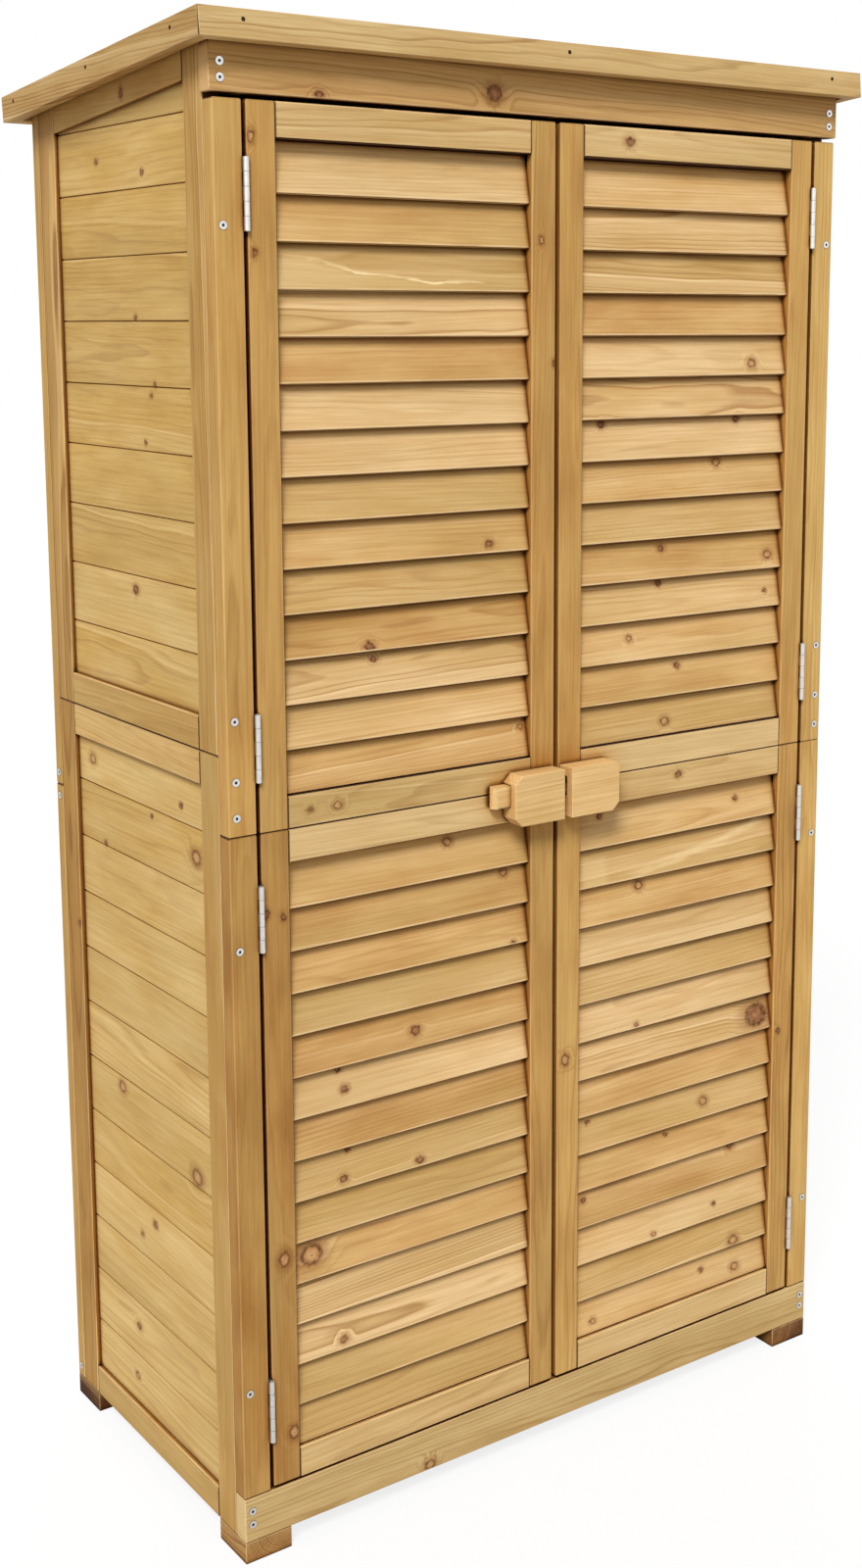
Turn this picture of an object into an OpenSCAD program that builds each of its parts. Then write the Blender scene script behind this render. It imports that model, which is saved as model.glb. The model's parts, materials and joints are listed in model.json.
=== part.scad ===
// Narrow wooden garden tool shed with two louvred doors and a single-pitch roof.
// Millimetres. X runs to the right, Y to the back, Z up. The origin is on the ground,
// in the middle of the shed's outer box.

/* [Cabinet] */
// Outside width of the cabinet under the roof
body_w = 824; // [700:1:1000]
// Outside depth of the cabinet under the roof
body_d = 430; // [360:1:600]
// Height of the roof's front top edge above the ground
shed_h = 1600; // [1450:1:1900]
// Height of the feet
foot_h = 24; // [15:1:60]
// Width of a foot across the front
foot_w = 56; // [45:1:90]
// Depth of a foot
foot_d = 59; // [45:1:90]

/* [Roof] */
// Fall of the roof towards the back, in degrees
roof_fall = 5; // [2:0.5:10]
// How far the roof stands out at each side
side_overhang = 23; // [20:1:80]
// How far the roof stands out at the front
front_overhang = 21; // [20:1:80]
// How far the roof stands out at the back
back_overhang = 29; // [20:1:80]
// Height of the fascia boards
fascia_h = 28; // [24:1:60]
// Thickness of the fascia boards
fascia_t = 16; // [10:1:17]
// Thickness of the deck boards
deck_t = 12; // [8:1:16]
// Number of deck boards from front to back
deck_boards = 6; // [3:1:12]
// Thickness of the roofing felt
felt_t = 2.5; // [1.5:0.5:5]
// How far the felt lies below the top of the fascia
felt_recess = 1.5; // [0:0.5:3]
// Width and height of the battens under the deck
roof_batten = 22; // [15:1:40]

/* [Front frame] */
// Thickness of the boards of the front frame
frame_t = 20; // [16:1:30]
// Width of a front stile
front_stile_w = 31; // [24:1:60]
// Height of the seam between the lower and upper front stiles and door panels
front_seam = 798; // [600:1:1000]
// Height of the bottom board
bottom_board_h = 51; // [40:1:90]
// Height of the header board's front face
header_h = 57; // [40:1:120]
// How far the header is longer than the cabinet is wide, at each end
header_over = 3; // [0:1:8]
// Open gap between the header and the doors and stiles
header_gap = 5; // [2:1:12]

/* [Side and back panels] */
// Thickness of the panel frames
panel_t = 18; // [16:1:30]
// Width of the panel frames' stiles
panel_stile_w = 40; // [30:1:70]
// Height of the panel frames' rails
panel_rail_w = 36; // [28:1:60]
// Height of the seam between lower and upper side panels
side_seam = 879; // [700:1:1000]
// Height of the seam between lower and upper back panels
back_seam = 775; // [600:1:900]
// Thickness of the tongue-and-groove boards
board_t = 9; // [7:1:11]
// Height that each tongue-and-groove board covers
board_pitch = 67; // [45:1:120]
// How far the boards lie behind the face of their frame
board_recess = 5; // [2:0.5:5]
// How far the boards reach into the groove of their frame
board_housing = 6; // [4:1:10]
// Length of the tongue
tongue = 5; // [3:0.5:7]

/* [Doors] */
// Thickness of the door panels
door_t = 20; // [16:1:24]
// Width of the door stiles
door_stile_w = 32; // [26:1:50]
// Height of the door rails
door_rail_h = 35; // [28:1:60]
// Gap between a door and the front stile beside it
door_side_gap = 4.7; // [4:0.1:5.5]
// Gap between the two doors
door_meeting_gap = 6; // [3:0.5:12]
// Gap between the doors and the bottom board
door_foot_gap = 2.5; // [1.5:0.5:6]
// Wanted height from slat to slat, before it is rounded to a whole number of slats
slat_pitch_wanted = 46.5; // [35:0.5:60]
// How much more of the top slat shows than of the others
slat_top_extra = 5; // [0:0.5:8]
// Thickness of a slat
slat_t = 6; // [5:0.5:8]
// How far each slat reaches behind the one above it
slat_lap = 6; // [3:0.5:9]
// Backward lean of a slat, in degrees
slat_lean = 10.5; // [9:0.5:12]
// How far a slat's lower edge lies behind the face of the door
slat_recess = 4; // [1:0.5:5]
// How far the slats reach into the door stiles
slat_housing = 6; // [3:1:10]

/* [Hinges] */
// Length of a hinge
hinge_l = 70; // [50:1:90]
// Distance from a door panel's end to the middle of its hinge
hinge_inset = 89; // [60:1:140]
// Thickness of a hinge leaf
leaf_t = 1.2; // [0.8:0.1:1.6]
// How far a hinge leaf reaches along the edge of the wood
leaf_w = 15; // [12:0.5:16]
// Outside radius of the hinge knuckles
knuckle_r = 2.95; // [2.8:0.05:3.2]
// Radius of the hinge pins
pin_r = 1.3; // [1:0.1:1.6]
// How far the pin stands in front of the face of the door
pin_proud = 2.2; // [2:0.1:4]

/* [Latch] */
// Width of a latch block
block_w = 68; // [50:1:90]
// Height of a latch block
block_h = 57; // [48:1:64]
// Thickness of a latch block
block_t = 24; // [20:1:40]
// Chamfer on the latch blocks' outer corners
block_chamfer = 9; // [2:1:10]
// Chamfer on the right latch block's upper outer corner
small_chamfer = 5; // [2:1:10]
// Middle of the latch blocks below the front seam
block_drop = 7; // [4:1:9]
// Height of the wooden bolt
bolt_h = 24; // [14:1:26]
// Thickness of the wooden bolt
bolt_t = 13; // [8:1:14]
// How far the drawn bolt stands out of its block
bolt_out = 22; // [21:1:50]
// How far the bolt slides to lock the doors
bolt_travel = 20; // [15:1:21]
// Running clearance around the bolt
bolt_clear = 0.3; // [0.2:0.05:0.6]
// Room left in the right block's slot beyond the closed bolt
slot_spare = 18; // [2:1:24]
// How far the blocks lie behind the door's edge
block_setback = 2; // [0:0.5:6]
// Middle of the bolt below the front seam
bolt_drop = 2; // [0:0.5:3]

/* [Inside] */
// Thickness of the floor boards
floor_t = 12; // [8:1:18]
// How far the floor lies below the top of the bottom board
floor_drop = 2; // [1:0.5:10]
// Height of the underside of the lower shelf
lower_shelf = 560; // [300:1:700]
// Height of the underside of the upper shelf
upper_shelf = 1050; // [900:1:1200]
// Number of boards in each shelf
shelf_slats = 5; // [3:1:8]
// Thickness of the shelf boards
shelf_t = 12; // [8:1:20]
// Open gap between shelf boards
shelf_gap = 8; // [2:1:20]
// Width and height of the shelf cleats
cleat = 20; // [15:1:35]
// Space between the back of the doors and the shelves
shelf_setback = 12; // [8:1:60]

/* [Fasteners] */
// Radius of a wood screw's head
screw_head_r = 4.2; // [3:0.1:5]
// Radius of a wood screw's shank
screw_r = 1.8; // [1.2:0.1:2.2]
// How far a wood screw's head stands proud
screw_proud = 0.5; // [0:0.1:1]
// Radius of a hinge screw's head
small_head_r = 2.6; // [2:0.1:3]
// Radius of a hinge screw's shank
small_r = 1.2; // [0.8:0.1:1.4]
// Radius of a fascia nail's head
nail_head_r = 2.2; // [1.5:0.1:3]
// How far the fascia nails are sunk
nail_sunk = 1; // [0:0.1:2]
// Distance of the end screws of the stiles from the stile's end
stile_screw_inset = 119; // [80:1:160]
// Height of the header's lower screw above its lower edge
header_screw_inset = 13; // [9:1:20]
// Height of the bottom board's lower screw above its lower edge
bottom_screw_inset = 20; // [9:1:22]
// Distance between the two screws at a board's end
pair_gap = 15; // [10:1:18]
// Distance of the front fascia's end nails from its corners
nail_inset = 48; // [30:1:90]
// Distance of a side fascia's first nail from the front corner
side_nail_front = 57; // [30:1:90]
// Distance of a side fascia's last nail from the back corner
side_nail_back = 34; // [30:1:90]

/* [Fits] */
// Gap in a joint between two fixed pieces of wood
joint_gap = 0.15; // [0.1:0.05:0.25]
// Clearance around a screw or nail
screw_fit = 0.05; // [0.03:0.01:0.15]
// Clearance around a hinge pin
pin_fit = 0.04; // [0.02:0.01:0.08]
// Gap between neighbouring hinge knuckles
knuckle_gap = 0.35; // [0.3:0.05:0.6]

/* [Hidden] */
$fn = 40;
honey = "#c39a5d";
pale = "#d9b57c";
brown = "#a9783f";
dark_foot = "#6d4a2e";
zinc = "#c9cbcc";
felt_green = "#4b4f4a";
// Reach of a cutting shape past what it cuts
past = 200;
cut = 1;

// Front to back. The latch or the roof reaches furthest forwards.
forward = max(front_overhang, block_t);
overall_d = forward + body_d + back_overhang;
front_y = forward - overall_d / 2;
side_y0 = front_y + frame_t;
back_y = front_y + body_d;
side_y1 = back_y - panel_t;
half_w = body_w / 2;
inner_w = half_w - panel_t;

// Roof in its own tilted frame: x across, y down the slope, z square to it, top of the fascia at 0
tilt_shift = fascia_h * sin(roof_fall);
roof_y = front_y - front_overhang + tilt_shift;
roof_len = (front_overhang + body_d + back_overhang - tilt_shift) / cos(roof_fall);
roof_half = half_w + side_overhang;
deck_top = felt_recess + felt_t;
deck_under = deck_top + deck_t;
function deck_z(y) = shed_h - (y - roof_y) * tan(roof_fall) - deck_under / cos(roof_fall);

// Heights of the front
board_top = foot_h + bottom_board_h;
header_z = deck_z(front_y) - header_h;
door_z0 = board_top + door_foot_gap;
door_z1 = header_z - header_gap;

// Doors
stile_edge = half_w - front_stile_w;
door_x1 = stile_edge - door_side_gap;
door_x0 = door_meeting_gap / 2;
slat_x0 = door_x0 + door_stile_w;
slat_x1 = door_x1 - door_stile_w;
pin_x = stile_edge - knuckle_r;
pin_y = front_y - pin_proud;
mortise = 2 * knuckle_r - door_side_gap;
panel_ends = [door_z0, front_seam, door_z1];
hinge_z = [for (i = [0, 1]) for (z = [panel_ends[i] + hinge_inset, panel_ends[i + 1] - hinge_inset]) z];
knuckles = 5;
leaf_screws = [-hinge_l / 3, 0, hinge_l / 3];
leaf_y0 = knuckle_r + knuckle_gap;
leaf_y1 = pin_proud + leaf_w;

// Latch
block_x0 = door_x0 + block_setback;
block_x1 = block_x0 + block_w;
block_z = front_seam - block_drop;
bolt_z = front_seam - bolt_drop;
bolt_end = -block_x0;
bolt_start = -block_x1 - bolt_out;
slot_end = bolt_end + bolt_travel + slot_spare;

// Panels
boards_in = panel_rail_w - board_housing;
profile_c = 1.2;

// Screws
screw_cone = 3.2;
screw_rim = 0.3;
screw_tip = 5;
screw_hold = 22;
small_cone = 1.6;
seam_screws = [20, 57];
stile_screw_x = half_w - panel_t / 2;
back_screw_off = 14;
long_screw = frame_t + screw_hold;
back_screw = panel_t + screw_hold;
rail_screw = panel_stile_w + screw_hold;
plate_screw = 13;
leaf_screw = 12;
block_screw = door_t + block_t / 2;
cleat_screw = cleat + panel_t / 2;
nail_r = 1;
nail_head_t = 1;
nail_neck = 0.4;
nail_point = 4;
nail_l = fascia_t + screw_hold;
plate_w = 16;
plate_l = 100;
plate_t = 2;
plate_end_hole = 12;
plate_mid_hole = 15;
pin_over = 0.5;

// Floor
bearer_h = bottom_board_h - floor_drop - floor_t;

// A box between two opposite corners
module box(lo, hi) { translate(lo) cube(hi - lo); }

module in_roof_frame() { translate([0, roof_y, shed_h]) rotate([-roof_fall, 0, 0]) children(); }

// A layer of the roof between two depths below the top of the fascia, as wide as asked
module roof_layer(top, bottom, half, y0, y1) {
  in_roof_frame() box([-half, y0, -bottom], [half, y1, -top]);
}

// All the space under the deck, less a strip below it
module under_deck(strip = 0) {
  roof_layer(deck_under + strip, shed_h + past, roof_half + past, -past, roof_len + past);
}

module mirrored() { mirror([1, 0, 0]) children(); }

// Turns a shape made along +Z so that it points along the axis that is named
module pointing(way) {
  turn = way == "back" ? [-90, 0, 0] : way == "front" ? [90, 0, 0]
       : way == "right" ? [0, 90, 0] : way == "left" ? [0, -90, 0] : [0, 0, 0];
  rotate(turn) children();
}

// Countersunk wood screw with a hexagon socket: head at z = 0, point at z = length
module screw(length, r = screw_r, head = screw_head_r, cone = screw_cone, proud = screw_proud) {
  tip_r = r * 0.3;
  socket_r = head * 0.4;
  socket_depth = cone * 0.55;
  difference() {
    rotate_extrude() polygon([[0, -proud], [head, -proud], [head, screw_rim], [r, cone],
                              [r, length - screw_tip], [tip_r, length], [0, length]]);
    translate([0, 0, -proud - cut]) cylinder(r = socket_r, h = socket_depth + cut, $fn = 6);
  }
}

// The hole that the same screw sits in
module screw_hole(length, r = screw_r, head = screw_head_r, cone = screw_cone) {
  f = screw_fit;
  rotate_extrude() polygon([[0, -cut], [head + f, -cut], [head + f, screw_rim + f], [r + f, cone + f],
                            [r + f, length + f], [0, length + f]]);
}

// Side screws of the front stiles: height of each, lower stile first
lower_stile_screws = [board_top + stile_screw_inset, front_seam - stile_screw_inset];
upper_stile_screws = [front_seam + seam_screws[0], front_seam + seam_screws[1],
                      front_seam + stile_screw_inset, door_z1 - stile_screw_inset];
header_screws = [for (i = [0, 1]) header_z + header_screw_inset + i * pair_gap];
bottom_board_screws = [for (i = [0, 1]) foot_h + bottom_screw_inset + i * pair_gap];
back_rail_screws = [foot_h + back_screw_off, back_seam - back_screw_off, back_seam + back_screw_off];
front_screws = concat(lower_stile_screws, upper_stile_screws, header_screws, bottom_board_screws);
back_face_screws = [foot_h + stile_screw_inset, back_seam - stile_screw_inset,
                    back_seam + stile_screw_inset, deck_z(back_y) - stile_screw_inset];
shelf_levels = [lower_shelf, upper_shelf];
cleat_ys = [side_y0 + panel_stile_w / 2, side_y1 - panel_stile_w / 2];

// Everything that the frame's screws cut or fill on the right half, as holes or as screws
module right_frame_screws(holes) {
  for (z = front_screws) translate([stile_screw_x, front_y, z]) pointing("back")
    if (holes) screw_hole(long_screw); else screw(long_screw);
  for (z = back_rail_screws) translate([half_w, back_y - panel_t / 2, z]) pointing("left")
    if (holes) screw_hole(rail_screw); else screw(rail_screw);
  for (z = back_face_screws) translate([stile_screw_x, back_y, z]) pointing("front")
    if (holes) screw_hole(back_screw); else screw(back_screw);
  for (z = shelf_levels) for (y = cleat_ys)
    translate([inner_w - cleat, y, z - cleat / 2]) pointing("right")
      if (holes) screw_hole(cleat_screw); else screw(cleat_screw, proud = 0);
}

module frame_screw_holes() {
  right_frame_screws(true);
  mirrored() right_frame_screws(true);
}

// Base

module foot(x, y) { translate([x, y, 0]) cube([foot_w, foot_d, foot_h]); }

module feet() {
  color(dark_foot) for (x = [-half_w, half_w - foot_w]) for (y = [front_y, back_y - foot_d]) foot(x, y);
}

module floor_bearers() {
  w = foot_w - panel_t;
  color(brown) for (x = [-inner_w, inner_w - w])
    box([x, side_y0, foot_h], [x + w, side_y1, foot_h + bearer_h]);
}

module floor_boards() {
  n = round((side_y1 - side_y0) / board_pitch);
  pitch = (side_y1 - side_y0) / n;
  z = foot_h + bearer_h;
  color(honey) for (i = [0 : n - 1])
    box([-inner_w + joint_gap, side_y0 + i * pitch + joint_gap, z],
        [inner_w - joint_gap, side_y0 + (i + 1) * pitch - joint_gap, z + floor_t]);
}

// Side and back panels

// Outline of one tongue-and-groove board, outer face at x = 0, tongue up
module board_profile() {
  t = board_t;
  g = joint_gap;
  p = board_pitch - g;
  c = profile_c;
  polygon([[0, c], [0, p - c], [c, p], [t / 3, p], [t / 3, p + tongue], [2 * t / 3, p + tongue],
           [2 * t / 3, p], [t, p], [t, 0], [2 * t / 3 + g, 0], [2 * t / 3 + g, tongue + g],
           [t / 3 - g, tongue + g], [t / 3 - g, 0], [c, 0]]);
}

// Boards stacked from z0 to z1, along Y from 0 to length, outer face at x = 0 looking to +X
module board_stack(length, z0, z1) {
  n = ceil((z1 - z0) / board_pitch);
  intersection() {
    for (i = [0 : n - 1]) translate([0, length, z0 + i * board_pitch])
      rotate([90, 0, 0]) linear_extrude(length) mirror([1, 0]) board_profile();
    box([-board_t - cut, 0, z0], [cut, length, z1]);
  }
}

// Frame of a panel in the plane y-z: outer face at x = 0, body towards -x, lying from y0 to y1.
// The top follows the roof when roof_cut is true.
module panel_frame(y0, y1, z0, z1, roof_cut = false) {
  g = joint_gap;
  ya = y0 + panel_stile_w;
  yb = y1 - panel_stile_w;
  gx0 = -board_recess - board_t - g;
  gx1 = -board_recess + g;
  difference() {
    union() {
      box([-panel_t, y0, z0], [0, ya, z1]);
      box([-panel_t, yb, z0], [0, y1, z1]);
      box([-panel_t, ya + g, z0], [0, yb - g, z0 + panel_rail_w]);
      if (!roof_cut) box([-panel_t, ya + g, z1 - panel_rail_w], [0, yb - g, z1]);
    }
    box([gx0, ya - board_housing - g, z0 + boards_in - g],
        [gx1, yb + board_housing + g, roof_cut ? z1 + cut : z1 - boards_in + g]);
  }
}

// Right side panels stand in the plane x = half_w, the left ones are their mirror image
module side_frame(z0, z1, roof_cut) {
  difference() {
    intersection() {
      union() {
        translate([half_w, 0, 0]) panel_frame(side_y0, side_y1, z0, z1, roof_cut);
        if (roof_cut) side_top_rail();
      }
      under_deck();
    }
    frame_screw_holes();
  }
}

// Sloping top rail with its groove, between the stiles of an upper side panel
module side_top_rail() {
  g = joint_gap;
  ya = side_y0 + panel_stile_w + g;
  yb = side_y1 - panel_stile_w - g;
  low = side_seam;
  difference() {
    box([half_w - panel_t, ya, low], [half_w, yb, shed_h]);
    under_deck(panel_rail_w);
    intersection() {
      under_deck(boards_in - g);
      box([half_w - board_recess - board_t - g, ya - cut, low],
          [half_w - board_recess + g, yb + cut, shed_h]);
    }
  }
}

module side_boards(z0, z1, roof_cut) {
  y0 = side_y0 + panel_stile_w - board_housing;
  y1 = side_y1 - panel_stile_w + board_housing;
  intersection() {
    translate([half_w - board_recess, y0, 0]) board_stack(y1 - y0, z0, z1);
    under_deck(roof_cut ? boards_in : 0);
  }
}

module lower_side_frame() { color(honey) side_frame(foot_h, side_seam, false); }
module upper_side_frame() { color(honey) side_frame(side_seam, shed_h, true); }
module lower_side_boards() {
  color(honey) side_boards(foot_h + boards_in, side_seam - boards_in, false);
}
module upper_side_boards() {
  color(honey) side_boards(side_seam + boards_in, shed_h, true);
}

module right_lower_side_frame() { lower_side_frame(); }
module right_lower_side_boards() { lower_side_boards(); }
module right_upper_side_frame() { upper_side_frame(); }
module right_upper_side_boards() { upper_side_boards(); }
module left_lower_side_frame() { mirrored() lower_side_frame(); }
module left_lower_side_boards() { mirrored() lower_side_boards(); }
module left_upper_side_frame() { mirrored() upper_side_frame(); }
module left_upper_side_boards() { mirrored() upper_side_boards(); }

// The back panels are the same frame turned to face the back
module facing_back() { translate([0, back_y, 0]) rotate([0, 0, 90]) children(); }

module lower_back_frame() {
  color(brown) difference() {
    facing_back() panel_frame(-half_w, half_w, foot_h, back_seam);
    frame_screw_holes();
  }
}

back_top = deck_z(side_y1);

module upper_back_frame() {
  color(brown) difference() {
    intersection() {
      facing_back() panel_frame(-half_w, half_w, back_seam, back_top);
      under_deck();
    }
    frame_screw_holes();
  }
}

module back_boards(z0, z1) {
  length = body_w - 2 * (panel_stile_w - board_housing);
  facing_back() translate([-board_recess, -length / 2, 0]) board_stack(length, z0, z1);
}

module lower_back_boards() { color(honey) back_boards(foot_h + boards_in, back_seam - boards_in); }
module upper_back_boards() { color(honey) back_boards(back_seam + boards_in, back_top - boards_in); }

// Front frame

module right_front_stile(z0, z1) {
  color(honey) difference() {
    box([stile_edge, front_y, z0], [half_w, side_y0, z1]);
    frame_screw_holes();
    right_hinge_frame_screws(true);
  }
}

module lower_right_front_stile() { right_front_stile(board_top, front_seam); }
module upper_right_front_stile() { right_front_stile(front_seam, door_z1); }
module lower_left_front_stile() { mirrored() right_front_stile(board_top, front_seam); }
module upper_left_front_stile() { mirrored() right_front_stile(front_seam, door_z1); }

module bottom_board() {
  color(honey) difference() {
    box([-half_w, front_y, foot_h], [half_w, side_y0, board_top]);
    frame_screw_holes();
  }
}

module header_board() {
  color(honey) difference() {
    intersection() {
      box([-half_w - header_over, front_y, header_z], [half_w + header_over, side_y0, shed_h]);
      under_deck();
    }
    frame_screw_holes();
  }
}

// Roof

module roof_battens() {
  y0 = (side_y0 - roof_y) / cos(roof_fall) + (deck_under + roof_batten) * tan(roof_fall) + joint_gap;
  y1 = (side_y1 - roof_y) / cos(roof_fall) + deck_under * tan(roof_fall) - joint_gap;
  color(brown) in_roof_frame() for (x = [-inner_w, inner_w - roof_batten])
    box([x, y0, -deck_under - roof_batten], [x + roof_batten, y1, -deck_under]);
}

module roof_deck_boards() {
  y0 = fascia_t;
  pitch = (roof_len - 2 * fascia_t) / deck_boards;
  half = roof_half - fascia_t - joint_gap;
  color(brown) difference() {
    for (i = [0 : deck_boards - 1])
      roof_layer(deck_top, deck_under, half,
                 y0 + i * pitch + joint_gap, y0 + (i + 1) * pitch - joint_gap);
    fascia_nail_set(true);
  }
}

module roof_felt() {
  g = joint_gap;
  color(felt_green)
    roof_layer(felt_recess, deck_top, roof_half - fascia_t - g, fascia_t + g, roof_len - fascia_t - g);
}

// One mitred fascia board of the given length, outer face at y = 0
module fascia(length) {
  half = length / 2;
  color(honey) translate([0, 0, -fascia_h]) linear_extrude(fascia_h)
    polygon([[-half, 0], [half, 0], [half - fascia_t, fascia_t], [fascia_t - half, fascia_t]]);
}

module fascia_in_place(length, at, turn) {
  difference() {
    in_roof_frame() translate(at) rotate([0, 0, turn]) fascia(length);
    fascia_nail_set(true);
  }
}

module front_fascia() { fascia_in_place(2 * roof_half, [0, 0, 0], 0); }
module back_fascia() { fascia_in_place(2 * roof_half, [0, roof_len, 0], 180); }
module left_fascia() { fascia_in_place(roof_len, [-roof_half, roof_len / 2, 0], -90); }
module right_fascia() { fascia_in_place(roof_len, [roof_half, roof_len / 2, 0], 90); }

module nail() {
  neck = nail_head_t + nail_neck;
  tip_r = nail_r * 0.3;
  translate([0, 0, nail_sunk])
    rotate_extrude() polygon([[0, 0], [nail_head_r, 0], [nail_head_r, nail_head_t], [nail_r, neck],
                              [nail_r, nail_l - nail_point], [tip_r, nail_l], [0, nail_l]]);
}

module nail_hole() {
  f = screw_fit;
  neck = nail_sunk + nail_head_t + nail_neck + f;
  end = nail_sunk + nail_l + f;
  rotate_extrude() polygon([[0, -cut], [nail_head_r + f, -cut], [nail_head_r + f, neck - nail_neck],
                            [nail_r + f, neck], [nail_r + f, end], [0, end]]);
}

// Three nails in each fascia board, into the edge of the deck
module fascia_nail_set(holes) {
  depth = -deck_top - deck_t / 2;
  x_end = roof_half - nail_inset;
  y_step = (roof_len - side_nail_front - side_nail_back) / 2;
  in_roof_frame() {
    for (x = [-x_end, 0, x_end]) {
      translate([x, 0, depth]) pointing("back") if (holes) nail_hole(); else nail();
      translate([x, roof_len, depth]) pointing("front") if (holes) nail_hole(); else nail();
    }
    for (y = [for (i = [0 : 2]) side_nail_front + i * y_step]) {
      translate([-roof_half, y, depth]) pointing("right") if (holes) nail_hole(); else nail();
      translate([roof_half, y, depth]) pointing("left") if (holes) nail_hole(); else nail();
    }
  }
}

module fascia_nails() { color(zinc) fascia_nail_set(false); }

// Shelves

module shelf_cleats() {
  color(brown) difference() {
    for (z = shelf_levels) for (x = [-inner_w, inner_w - cleat])
      box([x, front_y + door_t + shelf_setback, z - cleat], [x + cleat, side_y1 - joint_gap, z]);
    frame_screw_holes();
  }
}

module shelf_boards(z) {
  y0 = front_y + door_t + shelf_setback;
  pitch = (side_y1 - y0) / shelf_slats;
  for (i = [0 : shelf_slats - 1])
    box([-inner_w + joint_gap, y0 + i * pitch, z],
        [inner_w - joint_gap, y0 + (i + 1) * pitch - shelf_gap, z + shelf_t]);
}

module lower_shelf_boards() { color(honey) shelf_boards(lower_shelf); }
module upper_shelf_boards() { color(honey) shelf_boards(upper_shelf); }

module frame_screws() {
  color(zinc) {
    right_frame_screws(false);
    mirrored() right_frame_screws(false);
  }
}

// Hinges, right side; the left ones are their mirror image. The pin's axis is the local z axis.

module at_right_hinges() { for (z = hinge_z) translate([pin_x, pin_y, z]) children(); }

// One leaf, on the +x side of the pin: knuckles with the numbers given
module hinge_leaf(own) {
  k_l = hinge_l / knuckles;
  low = -hinge_l / 2;
  difference() {
    union() {
      box([knuckle_r - leaf_t, leaf_y0, low], [knuckle_r, leaf_y1, -low]);
      for (k = own) translate([0, 0, low + k * k_l + knuckle_gap / 2]) {
        cylinder(r = knuckle_r, h = k_l - knuckle_gap);
        translate([knuckle_r - leaf_t, 0, 0]) cube([leaf_t, leaf_y0 + cut, k_l - knuckle_gap]);
      }
    }
    translate([0, 0, low - cut]) cylinder(r = pin_r + pin_fit, h = hinge_l + 2 * cut);
    leaf_screw_set(true);
  }
}

// Screws through a leaf on the +x side of the pin, into the wood beyond it
module leaf_screw_set(holes) {
  for (z = leaf_screws)
    translate([knuckle_r - leaf_t, (leaf_y0 + leaf_y1) / 2, z]) pointing("right")
      if (holes) screw_hole(leaf_screw, small_r, small_head_r, small_cone);
      else screw(leaf_screw, small_r, small_head_r, small_cone, 0);
}

frame_knuckles = [0, 2, 4];
door_knuckles = [1, 3];

module right_hinge_frame_screws(holes) { at_right_hinges() leaf_screw_set(holes); }
module right_hinge_door_screws(holes) { at_right_hinges() mirrored() leaf_screw_set(holes); }

module hinge_frame_leaves() {
  color(zinc) {
    at_right_hinges() hinge_leaf(frame_knuckles);
    mirrored() at_right_hinges() hinge_leaf(frame_knuckles);
  }
}

module right_door_hinge_leaves() { color(zinc) at_right_hinges() mirrored() hinge_leaf(door_knuckles); }
module left_door_hinge_leaves() { mirrored() right_door_hinge_leaves(); }

module hinge_pin() {
  h = hinge_l + 2 * pin_over;
  translate([0, 0, -h / 2]) cylinder(r = pin_r, h = h);
}

module hinge_pins() {
  color(zinc) {
    at_right_hinges() hinge_pin();
    mirrored() at_right_hinges() hinge_pin();
  }
}

module hinge_frame_screws() {
  color(zinc) {
    right_hinge_frame_screws(false);
    mirrored() right_hinge_frame_screws(false);
  }
}

// Doors, right side; the left door is its mirror image apart from the bolt's slot

plate_xs = [door_x0 + door_stile_w / 2, door_x1 - door_stile_w / 2];
plate_zs = [for (side = [-1, 1]) for (z = [plate_l / 2 - plate_end_hole, plate_mid_hole]) side * z];
block_screw_x = (block_x0 + block_x1) / 2;
// The block's screws lie midway between the bolt and the block's ends
block_screw_zs = [for (side = [-1, 1]) (bolt_z + block_z + side * (bolt_h + block_h) / 2) / 2];

// Screws from the back of the door: mending plates and latch block
module right_door_back_screws(holes) {
  for (x = plate_xs) for (z = plate_zs)
    translate([x, front_y + door_t + plate_t, front_seam + z]) pointing("front")
      if (holes) screw_hole(plate_screw, small_r, small_head_r, small_cone);
      else screw(plate_screw, small_r, small_head_r, small_cone, 0);
  for (z = block_screw_zs) translate([block_screw_x, front_y + door_t, z]) pointing("front")
    if (holes) screw_hole(block_screw); else screw(block_screw, proud = 0);
}

module right_door_screws() {
  color(zinc) {
    right_door_back_screws(false);
    right_hinge_door_screws(false);
  }
}

module left_door_screws() { mirrored() right_door_screws(); }

module right_door_mending_plates() {
  color(zinc) difference() {
    for (x = plate_xs)
      box([x - plate_w / 2, front_y + door_t, front_seam - plate_l / 2],
          [x + plate_w / 2, front_y + door_t + plate_t, front_seam + plate_l / 2]);
    right_door_back_screws(true);
  }
}

module left_door_mending_plates() { mirrored() right_door_mending_plates(); }

// Slats of a panel between two heights; grown makes the housings that they sit in
function opening(z0, z1) = z1 - z0 - 2 * door_rail_h;
function slat_count(z0, z1) = round(opening(z0, z1) / slat_pitch_wanted);
function slat_pitch(z0, z1) = (opening(z0, z1) - slat_top_extra) / slat_count(z0, z1);

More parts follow.
